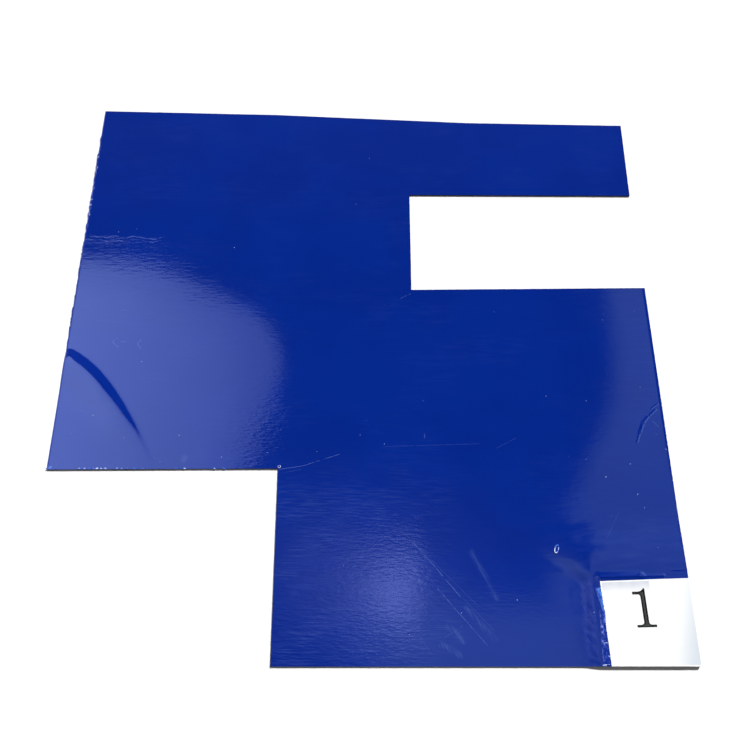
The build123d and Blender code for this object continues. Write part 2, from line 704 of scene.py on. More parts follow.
@dataclass(frozen=True)
class TabLabel:
    """White satin label stock: painted shade towards its right side, where the label would bend down, and
    in a patch near its top left, with cut edges greyed partly as dirt and partly as painted shade.
    """

    name: str = "white_tab_label"
    white: Colour = (0.862, 0.870, 0.872)
    # Painted shade towards the right side, standing for a bend that the flat tab does not have.
    curl_shade: Colour = (0.600, 0.645, 0.700)
    # Painted shade in a patch near the top left; no fold is modelled.
    fold_shade: Colour = (0.592, 0.603, 0.663)
    # Grey on the label's cut faces: partly dirt, partly painted shade.
    dirt_and_shade_edge: Colour = (0.15, 0.15, 0.16)
    roughness: float = 0.32
    curl_shade_start: float = 436.0
    curl_shade_end: float = 457.5
    fold_shade_end: float = 430.0
    left_side: float = 397.6
    top_side: float = 41.65
    skew: float = 0.035

    def build(self, pad: PadFrame) -> bpy.types.Material:
        """The label's material.

        Args:
            pad: The pad that it lies on.

        Returns:
            The material.
        """
        f = Finish(self.name, pad)
        mottle = f.noise((6.0, 6.0), 3.0)
        # Share of the painted shade towards the right side, slanting with the height.
        slant = f.x + mottle * 1.2 + f.y * -0.24
        curl_shade_share = slant.step(self.curl_shade_start, self.curl_shade_end) * f.y.step(0.7, 1.2)
        from_left = f.x - self.left_side + f.y * self.skew
        from_top = f.x * self.skew + self.top_side - f.y
        border = from_left.step(0.7, 1.1) * from_top.step(0.7, 1.1)
        # Patch of painted shade near the top left, kept off the thin white border.
        fold = f.x.step(self.fold_shade_end, self.fold_shade_end - 0.8) * from_top.step(9.5, 1.5)
        fold = fold * (mottle * 0.8 + 0.5) * border
        body = f.blend(fold, f.blend(curl_shade_share, self.white, self.curl_shade), self.fold_shade)
        # The cut faces get the grey of dirt and painted shade.
        f.paint("Base Color", f.blend(f.shaded_cut_edge(), body, self.dirt_and_shade_edge))
        f.paint("Roughness", f.shaded_cut_edge() * 0.6 + self.roughness)
        f.paint("Normal", f.bump(f.noise((1.1, 1.1), 3.0), 0.01 * MM))
        return f.material


@dataclass(frozen=True)
class LinerFilm:
    """Milky release film under the pad."""

    name: str = "milky_release_film"
    milk: Colour = (0.80, 0.83, 0.86)
    dull_share: float = 0.92
    roughness: float = 0.35

    def build(self, pad: PadFrame) -> bpy.types.Material:
        """The liner's material.

        Args:
            pad: The pad that it lies on.

        Returns:
            The material.
        """
        f = Finish(self.name, pad)
        dull = tuple(self.dull_share * c for c in self.milk)
        f.paint("Base Color", f.blend(f.noise((40.0, 25.0), 3.0).step(0.3, 0.7), dull, self.milk))
        f.paint("Roughness", self.roughness)
        return f.material


@dataclass(frozen=True)
class PrintInk:
    """Dark grey ink of the digit, black along its rim where it pooled."""

    name: str = "digit_ink"
    grey: Colour = (0.050, 0.049, 0.048)
    black: Colour = (0.0002, 0.0002, 0.0002)
    shine: float = 0.12
    roughness: float = 0.7

    def build(self, pad: PadFrame) -> bpy.types.Material:
        """The ink's material.

        Args:
            pad: The pad that it lies on.

        Returns:
            The material.
        """
        f = Finish(self.name, pad)
        rim = f.node("VertexColor")
        rim.layer_name = "rim"
        share = f.value(rim.outputs["Color"]) + (f.noise((0.8, 0.8)) * 0.3 - 0.15)
        f.paint("Base Color", f.blend(share, self.grey, self.black))
        f.paint("Specular IOR Level", self.shine)
        f.paint("Roughness", self.roughness)
        return f.material


@dataclass(frozen=True)
class StretchedFilm:
    """Film stretched pale round punctures, and pale film on the burrs along the cuts and on crumpled
    slivers, where the paleness is painted highlight and reflection.
    """

    name: str = "stretched_pale_film"
    pale: Colour = (0.62, 0.70, 0.95)
    blue: Colour = (0.045, 0.150, 0.660)
    pale_to_blue: tuple[float, float] = (0.42, 0.60)
    roughness: float = 0.22

    def build(self, pad: PadFrame) -> bpy.types.Material:
        """The pale film's material: near white, blue in patches of noise.

        Args:
            pad: The pad that it lies on.

        Returns:
            The material.
        """
        f = Finish(self.name, pad)
        # Blue in noise patches; the pale rest is painted highlight on the burrs and crumpled pieces.
        blue_share = f.noise((2.2, 3.5)).step(*self.pale_to_blue)
        f.paint("Base Color", f.blend(blue_share, self.pale, self.blue))
        f.paint("Roughness", self.roughness)
        return f.material


# Pieces


@dataclass(frozen=True)
class Crease:
    """A crease pressed into the top sheet, along a path in pad millimetres."""

    path: Points
    width: float
    height: float
    fade: float
    side: Side
    widths: Points = (
        (0.0, 0.4), (0.04, 0.75), (0.11, 1.0), (0.4, 1.05), (0.6, 0.78), (0.76, 0.40), (1.0, 0.5),
    )
    steepness: Points = (
        (0.0, 0.0), (0.03, 1.0), (0.66, 1.0), (0.76, 0.82), (0.82, 0.42), (0.93, 0.15), (1.0, 0.0),
    )

    def relief(self, x: Array, y: Array) -> Array:
        """Height that the crease adds.

        A two-sided crease is a bell across its path, and swells from nothing at its ends as the
        sine of the place along the path. A one-sided one climbs evenly over its width on the right
        of the path, then falls back as a bell over its fade. Its width and its steepness are
        shares of the full ones, read off along the path.

        Args:
            x: Pad x of the points.
            y: Pad y of the points.

        Returns:
            The heights, in millimetres.
        """
        d, place = path_frame(x, y, smooth_path(self.path))
        if self.side is Side.BOTH:
            swell = np.sin(np.pi * np.clip(place, 0.0, 1.0)) ** 0.7
            return self.height * swell * np.exp(-((d / self.width) ** 2))
        share = np.interp(place, *np.array(self.widths).T)
        width = self.width * share
        climb = self.height * share * np.interp(place, *np.array(self.steepness).T)
        ramp = np.clip(-d / width, 0.0, 1.0)
        fall = np.exp(-((np.maximum(-d - width, 0.0) / self.fade) ** 2))
        return climb * ramp * fall


@dataclass
class TopSheet:
    """The top sheet of film: it lies over the pad, climbs to the tab and carries the creases."""

    pad: PadFrame
    seat_left: float = 394.2
    seat_top: float = 59.2
    side_run: float = 14.0
    side_spread: float = 60.0
    upper_run: float = 42.0
    wave: float = 0.04
    columns: tuple[int, ...] = (78, 30, 28, 31, 30, 40)
    rows: tuple[int, ...] = (60, 21, 19, 82, 14, 10, 20, 10, 26)
    creases: tuple[Crease, ...] = (
        Crease(
            ((1.2, 234.0), (7.0, 232.0), (14.6, 227.3), (26.4, 217.0), (36.2, 206.8), (47.3, 193.1),
             (55.5, 180.5), (64.7, 165.9), (74.4, 149.3), (80.0, 140.0)),
            7.4, 1.38, 16.0, Side.ONE,
        ),
        Crease(((264.0, 416.0), (267.0, 398.0), (270.0, 380.0)), 2.5, 0.08, 0.0, Side.BOTH),
    )

    def grid(self) -> tuple[Array, Array, Array]:
        """Pad x and y of the sheet's grid, and its cells.

        Columns and rows run between the outline's corners, so that its edges lie on grid lines.
        Between two such lines the points are spread evenly.

        Returns:
            The x and y grids, rows by columns, and True for each cell that has film.
        """
        pad = self.pad
        side_low, side_high = pad.corner(171, 0), pad.corner(169, 137)
        fold_left = pad.corner(0, 136)
        slot_low, slot_high = pad.corner(270, 285), pad.corner(270, 377)
        mouth_low, mouth_high = pad.corner(457, 287), pad.corner(456, 376)
        crown = [pad.corner(*near) for near in ((0, 466), (154, 462), (321, 453), (457, 450))]
        foot_x, foot_y = self.seat_left - 24.0, self.seat_top + self.upper_run
        xs = lambda side, right: np.array([0, 92, side, slot_low[0], foot_x, self.seat_left, right])
        edges_x = [xs(side_low[0], pad.width)] * 3 + [xs(side_high[0], pad.width)] * 7
        edges_x[8] = xs(side_high[0], mouth_high[0])
        u_break = np.concatenate(([0], np.cumsum(self.columns)))
        u = np.arange(u_break[-1] + 1)
        lines_x = np.array([np.interp(u, u_break, e) for e in edges_x])
        flat = lambda value: (lambda x: np.full(x.shape, value))
        between = lambda *ends: (lambda x: np.interp(x, [e[0] for e in ends], [e[1] for e in ends]))
        edges_y = [
            flat(0.0),
            flat(self.seat_top),
            flat(foot_y),
            between(fold_left, side_high),
            flat(243.0),
            between(slot_low, mouth_low),
            flat(323.0),
            flat(342.0),
            between(slot_high, mouth_high),
            between(*crown),
        ]
        lines_y = np.array([edge(row) for edge, row in zip(edges_y, lines_x)])
        v_break = np.concatenate(([0], np.cumsum(self.rows)))
        v = np.arange(v_break[-1] + 1)
        k = np.clip(np.searchsorted(v_break, v, side="right") - 1, 0, len(self.rows) - 1)
        t = ((v - v_break[k]) / np.array(self.rows)[k])[:, None]
        x = lines_x[k] * (1 - t) + lines_x[k + 1] * t
        y = lines_y[k] * (1 - t) + lines_y[k + 1] * t
        cells = np.ones((len(v) - 1, len(u) - 1), bool)
        cells[: v_break[3], : u_break[2]] = False
        cells[v_break[5] : v_break[8], u_break[3] :] = False
        return x, y, cells

    def seat_share(self, x: Array, y: Array) -> Array:
        """How far the sheet has climbed to the tab's seat: the product of two soft steps.

        The step from the side is short beside the tab, and widens where the film runs past it.

        Args:
            x: Pad x of the points.
            y: Pad y of the points.

        Returns:
            0 over the pad, 1 on the seat.
        """
        run = self.side_run + self.side_spread * smooth((y - self.seat_top + 9.0) / 50.0)
        side = smooth((x - self.seat_left) / run + 1.0)
        upper = smooth((self.seat_top + self.upper_run - y) / self.upper_run)
        return side * upper

    def underside(self, x: Array, y: Array) -> Array:
        """Height of the sheet's underside: its lie on the stack, and its relief."""
        climb = (self.pad.seat_underside - self.pad.flat_underside) * self.seat_share(x, y)
        return self.pad.flat_underside + climb + self.relief(x, y)

    def relief(self, x: Array, y: Array) -> Array:
        """Height of the sheet over its lie on the stack: slow waves, creases and puckers.

        The waves are a sum of slow noises, never below nothing, and fade out under the tab.

        Args:
            x: Pad x of the points.
            y: Pad y of the points.

        Returns:
            The heights, in millimetres.
        """
        waves = value_noise(x / 55.0, y / 70.0, 3) + 0.5 * value_noise(x / 23.0 + 9, y / 31.0, 5)
        total = self.wave * (1.5 + waves)
        for crease in self.creases:
            total = total + crease.relief(x, y)
        total = total + self.puckers(x, y)
        return total * smooth((1.0 - self.seat_share(x, y)) / 0.15)

    def puckers(self, x: Array, y: Array) -> Array:
        """Folds where the film is strained over the tab's seat.

        Above the seat they are broad and low, and lean with the film's run. Just beside it they
        are short, crossed and steeper, as one noise cut across by another.

        Args:
            x: Pad x of the points.
            y: Pad y of the points.

        Returns:
            The heights, in millimetres.
        """
        above = smooth((y - self.seat_top + 3.0) / 8.0) * smooth((self.seat_top + 50.0 - y) / 25.0)
        above = above * smooth((x - 352.0) / 30.0)
        lean = y - 0.12 * x
        broad = 1.4 + value_noise(x / 26.0, lean / 7.0, 13) + 0.4 * value_noise(x / 11.0, lean / 3.0, 19)
        beside = smooth((x - 373.0) / 9.0) * smooth((self.seat_left + 2.0 - x) / 3.0)
        beside = beside * smooth((56.0 - y) / 9.0)
        lobes = 1.0 + value_noise(x / 5.5 + y / 12.0, y / 6.5, 17)
        crinkle = 1.0 + value_noise(x / 2.7, y / 2.6 + x / 6.0, 23)
        return 0.12 * above * broad + beside * (0.10 * lobes + 0.05 * crinkle)

    def build(self) -> bpy.types.Object:
        """Mesh of the sheet: film over its grid, sharp only round its cut edges.

        Returns:
            The piece.
        """
        x, y, cells = self.grid()
        sheet = self.pad.film_piece("top_film", x, y, self.underside(x, y), cells)
        sheet.data.set_sharp_from_angle(angle=math.radians(40.0))
        return sheet


@dataclass
class Digit:
    """The digit 1 printed on the top tab, with a flag, a stem and a slab foot."""

    pad: PadFrame
    foot_centre: tuple[float, float] = (424.6, 24.9)
    turn: float = math.radians(1.6)
    height: float = 25.7
    stem: float = 3.45
    foot_width: float = 13.4
    foot_height: float = 1.7
    flag_reach: float = 7.2
    flag_thick: float = 1.9
    flag_drop: float = 3.0
    bracket: float = 1.6
    ink: float = 0.012
    rim: float = 0.95
    thin_rim: float = 0.6
    rim_blur: float = 0.2
    curve_points: int = 8

    def arc(self, start: tuple[float, float], pull: tuple[float, float], end: tuple[float, float]) -> Array:
        """Points of a quadratic curve.

        Args:
            start: Where it starts.
            pull: The point that it bends towards.
            end: Where it ends. This point itself is left out.

        Returns:
            Rows of x and y.
        """
        t = np.linspace(0.0, 1.0, self.curve_points, endpoint=False)[:, None]
        a, b, c = np.array(start), np.array(pull), np.array(end)
        return (1 - t) ** 2 * a + 2 * t * (1 - t) * b + t**2 * c

    def outline(self) -> Array:
        """The digit's outline, anticlockwise from the foot's left end, as a chain of curves.

        Returns:
            Rows of x and y, in its own millimetres.
        """
        half, foot, up = self.stem / 2, self.foot_width / 2, self.foot_height
        tall, far = self.height, self.flag_reach
        bar_top = tall - self.flag_drop + self.flag_thick / 2
        bar_low = bar_top - self.flag_thick
        bar_middle = (bar_top + bar_low) / 2
        rise, out = up + self.bracket * 1.3, half + self.bracket * 1.3
        curves = (
            ((-foot + 0.3, 0.0), (0.0, 0.05), (foot - 0.3, 0.0)),
            ((foot - 0.3, 0.0), (foot, 0.0), (foot, up * 0.5)),
            ((foot, up * 0.5), (foot, up), (foot - 0.3, up)),
            ((out, up), (half, up + 0.1), (half, rise)),
            ((half, rise), (half, tall / 2), (half, tall)),
            ((half, tall), (half - 0.3, tall + 0.1), (half - 0.8, tall)),
            ((half - 0.8, tall), (-0.8, bar_top), (-half - 1.6, bar_top)),
            ((-half - 1.6, bar_top), (-4.0, bar_top), (-far + 0.4, bar_top)),
            ((-far + 0.4, bar_top), (-far - 0.3, bar_middle), (-far + 0.4, bar_low)),
            ((-far + 0.4, bar_low), (-4.0, bar_low), (-half - 1.3, bar_low)),
            ((-half - 1.3, bar_low), (-half, bar_low - 0.1), (-half, bar_low - 2.2)),
            ((-half, bar_low - 2.2), (-half, tall / 2), (-half, rise)),
            ((-half, rise), (-half, up + 0.1), (-out, up)),
            ((-out, up), (-foot + 1.0, up), (-foot + 0.3, up)),
            ((-foot + 0.3, up), (-foot, up), (-foot, up * 0.5)),
            ((-foot, up * 0.5), (-foot, 0.0), (-foot + 0.3, 0.0)),
        )
        return np.concatenate([self.arc(*curve) for curve in curves])

    def build(self) -> bpy.types.Object:
        """Mesh of the ink: a thin prism on the tab's face, black at its rim and grey within.

        The black band lies between the rim and a loop moved inwards along the outline's normals,
        less far in the flag and the foot. A second inner loop ends its blur.

        Returns:
            The piece.
        """
        rim = self.outline()
        ahead = np.roll(rim, -1, axis=0) - np.roll(rim, 1, axis=0)
        inward = np.column_stack([-ahead[:, 1], ahead[:, 0]]) / np.hypot(*ahead.T)[:, None]
        thin = (rim[:, 1] < self.foot_height + 0.6) | (rim[:, 0] < -self.stem / 2 - 0.6)
        reach = np.where(thin, self.thin_rim, self.rim)[:, None]
        loops = [rim, rim, rim + inward * reach, rim + inward * (reach + self.rim_blur)]
        plan = np.concatenate(loops)
        n = len(rim)
        z = self.pad.tab_top + self.ink * np.repeat([0.0, 1.0, 1.0, 1.0], n)
        cos, sin = math.cos(self.turn), math.sin(self.turn)
        x = self.foot_centre[0] + cos * plan[:, 0] - sin * plan[:, 1]
        y = self.foot_centre[1] + sin * plan[:, 0] + cos * plan[:, 1]
        i = np.arange(n)
        j = (i + 1) % n
        faces = []
        for loop, base, turned in ((loops[0], 0, True), (loops[3], 3 * n, False)):
            for corners in tessellate_polygon([[Vector((*p, 0.0)) for p in loop]]):
                a, b, c = (loop[k] for k in corners)
                left = (b[0] - a[0]) * (c[1] - a[1]) > (b[1] - a[1]) * (c[0] - a[0])
                faces.append(tuple(base + k for k in (corners if left != turned else corners[::-1])))
        for base in (0, n, 2 * n):
            faces += np.column_stack([base + i, base + j, base + n + j, base + n + i]).tolist()
        digit = new_mesh_object("digit_one", self.pad.to_model(x, y, z), faces)
        colour = digit.data.color_attributes.new("rim", "FLOAT_COLOR", "POINT")
        colour.data.foreach_set("color", np.repeat([1.0, 1.0, 1.0, 0.0], 4 * n))
        return digit


@dataclass
class Rim:
    """A raised oval rim of stretched film, round a puncture or a curled corner."""

    sheet: TopSheet
    name: str
    centre: tuple[float, float]
    radii: tuple[float, float]
    thickness: float
    turn: float
    seed: int
    around: int = 48
    across: int = 12

    def build(self) -> bpy.types.Object:
        """Mesh of the rim: a ring tube whose radius and thickness waver with soft noise.

        Returns:
            The piece.
        """
        u = np.linspace(0.0, 2 * np.pi, self.around, endpoint=False)[:, None]
        v = np.linspace(0.0, 2 * np.pi, self.across, endpoint=False)[None, :]
        waver = 1.0 + 0.35 * value_noise(3.0 * np.cos(u) + 7.0, 3.0 * np.sin(u) + 7.0, self.seed)
        tube = self.thickness * waver / 2
        px = (self.radii[0] + tube * np.cos(v)) * np.cos(u)
        py = (self.radii[1] + tube * np.cos(v)) * np.sin(u)
        x = self.centre[0] + math.cos(self.turn) * px - math.sin(self.turn) * py
        y = self.centre[1] + math.sin(self.turn) * px + math.cos(self.turn) * py
        base = self.sheet.underside(np.array(self.centre[0]), np.array(self.centre[1]))
        z = base + self.sheet.pad.film + tube * (0.6 + np.sin(v))
        ring = np.arange(self.around * self.across).reshape(self.around, self.across)
        ahead, beside = np.roll(ring, -1, axis=0), np.roll(ring, -1, axis=1)
        faces = np.stack([ring, ahead, np.roll(ahead, -1, axis=1), beside], axis=-1).reshape(-1, 4)
        return new_mesh_object(self.name, self.sheet.pad.to_model(x, y, z), faces, rounded=True)


@dataclass
class Grains:
    """Dust on the film, burrs along its knife cuts and pale flecks by the tab, as meshes of tiny crystals;
    the flecks and the burrs' pale colour are painted highlights.
    """

    sheet: TopSheet
    # Dust at these spots; those from (389.6, 34.7) to (396.0, 1.3) are pale grains where the crumpled film
    # by the tab glints: painted highlights.
    dust_and_glint_spots: Points = (
        (19.3, 181.5), (28.4, 177.9), (14.0, 163.6), (53.5, 160.1), (94.5, 162.1), (59.9, 222.3),
        (61.8, 333.4), (124.4, 324.8), (235.2, 414.8), (224.1, 367.6), (27.5, 339.9), (42.3, 342.8),
        (263.5, 20.2), (299.2, 34.5), (338.0, 43.1), (420.0, 258.2),
        (335.0, 265.3), (247.2, 155.4), (77.5, 145.1), (127.1, 145.3), (160.8, 148.5), (229.3, 162.5),
        (382.9, 145.9), (408.7, 130.2), (430.2, 117.3), (433.8, 107.4), (370.2, 193.4), (400.3, 189.6),
        (449.6, 162.9), (427.4, 140.1), (455.4, 151.2), (389.6, 34.7), (394.5, 34.7), (395.6, 14.7),
        (394.9, 8.6), (393.8, 1.2), (396.0, 1.3), (367.6, 79.2), (368.4, 76.2),
    )
    # Pale flecks by the tab, where the crumpled film glints: painted highlights.
    tab_glint_flakes: tuple[tuple[float, float, float, float], ...] = (
        (395.7, 14.9, 1.1, 0.55), (394.9, 8.6, 0.6, 0.9), (396.3, 6.2, 1.1, 0.6), (393.4, 0.9, 2.3, 0.8),
        (396.0, 1.3, 1.0, 0.6),
    )
    # Places of pale burrs along the near edge, where its cut glints: painted highlights.
    near_edge_glint_burrs: tuple[float, ...] = (
        24.0, 27.5, 31.0, 33.9, 36.8, 39.8, 42.7, 51.5, 55.2, 58.8, 64.0, 70.5, 94.7, 100.6, 122.6, 129.9,
    )
    # Count of pale burrs along the left edge, where it glints: painted highlights.
    left_edge_glint_burrs: int = 46
    left_edge_bumps: int = 76
    loose_dust: int = 18
    grain: Sizes = (0.34, 0.34, 0.16)
    speck: Sizes = (0.18, 0.18, 0.1)
    near_glint_burr: Sizes = (1.2, 0.62, 0.3)
    left_glint_burr: Sizes = (0.7, 0.6, 0.45)
    corner_chip: Sizes = (2.6, 1.4, 0.3)
    bump: Sizes = (0.55, 1.7, 0.12)
    glint_flake_height: float = 0.5
    seed: int = 4

    def crystals(self, name: str, x: Array, y: Array, reach: Array, seed: int) -> bpy.types.Object:
        """Mesh of eight-sided crystals on the film, one at each place, each with its own lean.

        Args:
            name: Name of the object.
            x: Pad x of each crystal.
            y: Pad y of each crystal.
            reach: Rows of the crystals' half sizes along x, y and z.
            seed: Seed of the leans and of the small differences in size.

        Returns:
            The mesh object.
        """
        random = np.random.default_rng(seed)
        reach = reach * random.uniform(0.7, 1.3, (len(x), 3))
        top = self.sheet.underside(x, y) + self.sheet.pad.film
        lean = random.uniform(-0.5, 0.5, len(x))
        cos, sin = np.cos(lean)[:, None], np.sin(lean)[:, None]
        corner = np.array([[1, 0, 0], [0, 1, 0], [-1, 0, 0], [0, -1, 0], [0, 0, 1], [0, 0, -1]])
        along, across, up = (corner[:, k] * reach[:, k, None] for k in range(3))
        px = x[:, None] + cos * along - sin * across
        py = y[:, None] + sin * along + cos * across
        upper = [(k, (k + 1) % 4, 4) for k in range(4)]
        lower = [((k + 1) % 4, k, 5) for k in range(4)]
        faces = (np.array(upper + lower)[None] + 6 * np.arange(len(x))[:, None, None]).reshape(-1, 3)
        return new_mesh_object(name, self.sheet.pad.to_model(px, py, top[:, None] + up), faces)

    def dust_and_glints(self) -> bpy.types.Object:
        """Dust: grains at the seen spots, more strewn over the near half, and pale flecks by the tab. The
        flecks, and the spots from (389.6, 34.7) to (396.0, 1.3), stand for the crumpled film's glints:
        painted highlights.

        Returns:
            The piece.
        """
        random = np.random.default_rng(self.seed)
        seen = np.array(self.dust_and_glint_spots)
        x = random.uniform(4.0, self.sheet.pad.width - 4.0, self.loose_dust)
        y = random.uniform(4.0, 283.0, self.loose_dust)
        keep = ((x > 173.0) | (y > 139.0)) & ((x < 380.0) | (y > 70.0))
        glint_flakes = np.array(self.tab_glint_flakes)
        sizes = np.repeat([self.grain, self.speck], (len(seen), keep.sum()), axis=0)
        glint_flake_sizes = np.column_stack([glint_flakes[:, 2:], np.full(len(glint_flakes), self.glint_flake_height)])
        sizes = np.concatenate([sizes, glint_flake_sizes])
        places = np.concatenate([seen, np.column_stack([x, y])[keep], glint_flakes[:, :2]])
        return self.crystals("dust_and_glints", places[:, 0], places[:, 1], sizes, 41)

    def burrs(self) -> bpy.types.Object:
        """Pale burrs along the left edge and the corner cut's far edge, and a chip at their corner. The
        burrs sit where the cut edges glint, and their pale colour is painted highlight.

        Returns:
            The piece.
        """
        random = np.random.default_rng(self.seed + 1)
        near_x = np.array(self.near_edge_glint_burrs)
        near_y = np.full(len(near_x), self.sheet.pad.corner(0, 136)[1] + 0.8)
        left_y = 345.0 + 95.0 * random.uniform(0.0, 1.0, self.left_edge_glint_burrs) ** 1.3
        left_x = random.uniform(-0.3, 1.0, self.left_edge_glint_burrs)
        kinds = [self.near_glint_burr, self.left_glint_burr, self.corner_chip]
        sizes = np.repeat(kinds, (len(near_x), len(left_x), 1), axis=0)
        x = np.concatenate([near_x, left_x, [1.2]])
        y = np.concatenate([near_y, left_y, [near_y[0] + 0.5]])
        return self.crystals("knife_burr_glints", x, y, sizes, 42)

    def bumps(self) -> bpy.types.Object:
        """Blue bumps that leave the left edge jagged.

        Returns:
            The piece.
        """
        random = np.random.default_rng(self.seed + 2)
        y = random.uniform(238.0, 440.0, self.left_edge_bumps)
        x = random.uniform(-0.2, 0.3, self.left_edge_bumps)
        return self.crystals("edge_bumps", x, y, np.tile(self.bump, (len(x), 1)), 43)


@dataclass
class CrumpledLip:
    """Film rucked up against the tab's left side, with a torn edge that laps onto the tab."""

    pad: PadFrame
    name: str
    torn_edge: Points
    left: tuple[float, float]
    lift: float
    seed: int
    rows: int = 150
    columns: int = 14

    def build(self) -> bpy.types.Object:
        """Mesh of the lip: a thin sheet between a straight left side and the torn edge.

        Its height starts under the film's face on the left, rises by the lift with crossed noises,
        and comes down onto the tab at the torn edge. Its thickness is a film's.

        Returns:
            The piece.
        """
        torn = np.array(self.torn_edge)[::-1]
        v = np.linspace(0.0, 1.0, self.rows)[:, None]
        u = np.linspace(0.0, 1.0, self.columns)[None, :]
        y = torn[0, 1] + v * (torn[-1, 1] - torn[0, 1]) + 0.0 * u
        left = self.left[0] + (self.left[1] - self.left[0]) * v
        frayed = np.interp(y[:, :1], torn[:, 1], torn[:, 0])
        frayed = frayed + 0.25 * value_noise(y[:, :1] / 0.8, v, self.seed + 1)
        x = left + (frayed - left) * u
        rucks = 1.0 + value_noise(x / 2.6, y / 2.4 + x / 3.0, self.seed)
        rucks = rucks + 0.3 * value_noise(x / 1.1, y, 29)
        ends = smooth(v / 0.04) * smooth((1.0 - v) / 0.10)
        hump = smooth(u / 0.35) * (0.35 + 0.65 * smooth((1.0 - u) / 0.4)) * ends
        low = self.pad.seat_underside
        under = low + (self.pad.tab_top + 0.01 - low) * smooth(u / 0.25) + self.lift * rucks * hump
        return self.pad.film_piece(self.name, x, y, under, np.ones((self.rows - 1, self.columns - 1), bool))


@dataclass(frozen=True)
class Studio:
    """Floor, lights and camera. Bright panels overhead are placed by where the film mirrors them."""

    pad: PadFrame
    camera_x: float = 240.8
    camera_y: float = -31.2
    camera_over_film: float = 571.3
    camera_tilt: float = 22.97
    lens: float = 38.784
    shift_x: float = -0.0009
    board_height: float = 2000.0
    board_half: float = 1.9
    floor_half: float = 6.0
    floor_white: float = 0.90
    floor_lift: float = 0.02
    room_white: float = 0.8
    room_dim: float = 0.036
    key_strength: float = 4.3
    key_elevation: float = 49.0
    key_from_right: float = 35.0
    key_spread: float = 5.0
    tints: tuple[tuple[str, Colour], ...] = (
        ("Red", (1.0, 1.0, 1.0)), ("Green", (1.30, 1.4, 1.2)), ("Blue", (2.50, 1.85, 2.4)),
    )

    def plate(self, name: str, centre: Vector, half: float, shares: Points) -> bpy.types.Object:
        """A level plate.

        Args:
            name: Name of the object.
            centre: The point that its corners are counted from.
            half: Half its width.
            shares: Its corners along x and y, as shares of the half width.

        Returns:
            The plate.
        """
        corners = [(centre.x + half * across, centre.y + half * back, centre.z) for across, back in shares]
        return new_mesh_object(name, np.array(corners), [(0, 1, 2, 3)])

    def floor(self) -> None:
        """A plain pale floor, level with the liner's underside."""
        shares = ((-1.0, -1.0), (1.0, -1.0), (1.0, 1.0), (-1.0, 1.0))
        floor = self.plate("floor", Vector(), self.floor_half, shares)
        f = Finish("pale_floor", self.pad)
        rays = f.node("LightPath").outputs
        seen = [f.value(rays[ray]) for ray in ("Is Camera Ray", "Is Glossy Ray", "Is Transmission Ray")]
        f.paint("Base Color", (self.floor_white,) * 3)
        f.paint("Roughness", 0.9)
        f.paint("Specular IOR Level", 0.0)
        f.paint("Emission Color", (1.0, 1.0, 1.0))
        f.paint("Emission Strength", reduce(Value.at_least, seen) * self.floor_lift)
        floor.data.materials.append(f.material)

    def world(self) -> None:
        """White round the horizon, less so in front, falling to a dim ceiling. Seen itself, it is white."""
        world = bpy.data.worlds.new("studio_room")
        world.use_nodes = True
        bpy.context.scene.world = world
        w = Wiring(world.node_tree)
        _, y, z = w.parts(w.node("TexCoord").outputs["Generated"])
        low, high = (math.sin(math.radians(elevation)) for elevation in (26.0, 46.0))
        strength = z.step(low, high, self.room_white, self.room_dim) * y.step(-0.5, 0.2, 0.35, 1.0)
        strength = strength.at_least(w.value(w.node("LightPath").outputs["Is Camera Ray"]))
        background = w.node("Background")
        feed(w.tree, (1.0, 1.0, 1.0), background.inputs["Color"])
        feed(w.tree, strength, background.inputs["Strength"])
        feed(w.tree, background.outputs["Background"], w.node("OutputWorld").inputs["Surface"])

    def key(self) -> None:
        """A key light from behind on the right, which leaves the thin shadow along the near edges."""
        data = bpy.data.lights.new("key", "SUN")
        data.energy = self.key_strength
        data.angle = math.radians(self.key_spread)
        lamp = bpy.data.objects.new("key", data)
        lean, turn = math.radians(self.key_elevation - 90.0), -math.radians(self.key_from_right)
        lamp.rotation_euler = (lean, 0.0, turn)
        lamp.visible_glossy = False
        bpy.context.scene.collection.objects.link(lamp)

    def board(self) -> None:
        """A dim ceiling board with soft bright windows, drawn where the film mirrors them.

        A point p of the film mirrors the board's point foot + (p - foot) * (1 + board height over
        camera height), where foot is the point of the film under the camera. So the windows are
        given in pad millimetres on the film, and the board's coordinates are scaled back to them.
        """
        reach = 1.0 + (self.board_height - self.pad.flat_underside) / self.camera_over_film
        foot = self.pad.point(self.camera_x, self.camera_y, self.board_height)
        shares = ((-1.0, -0.2), (-1.0, 1.4), (1.0, 1.4), (1.0, -0.2))
        board = self.plate("ceiling_board", foot, self.board_half, shares)
        f = Finish("ceiling_board", self.pad)
        x = (f.x - self.camera_x) * (1.0 / reach) + self.camera_x
        y = (f.y - self.camera_y) * (1.0 / reach) + self.camera_y
        lights = (self.left_window(x, y), self.right_window(x, y), self.ceiling_lamp(x, y))
        board_grey = y.step(300.0, 450.0, 0.025, 0.075)
        colour = f.node("CombineColor")
        for channel, tints in self.tints:
            tinted = [light * tint for light, tint in zip(lights, tints)]
            feed(f.tree, reduce(Value.__add__, tinted, board_grey), colour.inputs[channel])
        f.paint("Base Color", (0.0, 0.0, 0.0))
        f.paint("Specular IOR Level", 0.0)
        f.paint("Emission Color", colour.outputs["Color"])
        f.paint("Emission Strength", 1.0)
        board.data.materials.append(f.material)
        board.visible_camera = False
        board.visible_shadow = False
        board.visible_diffuse = False

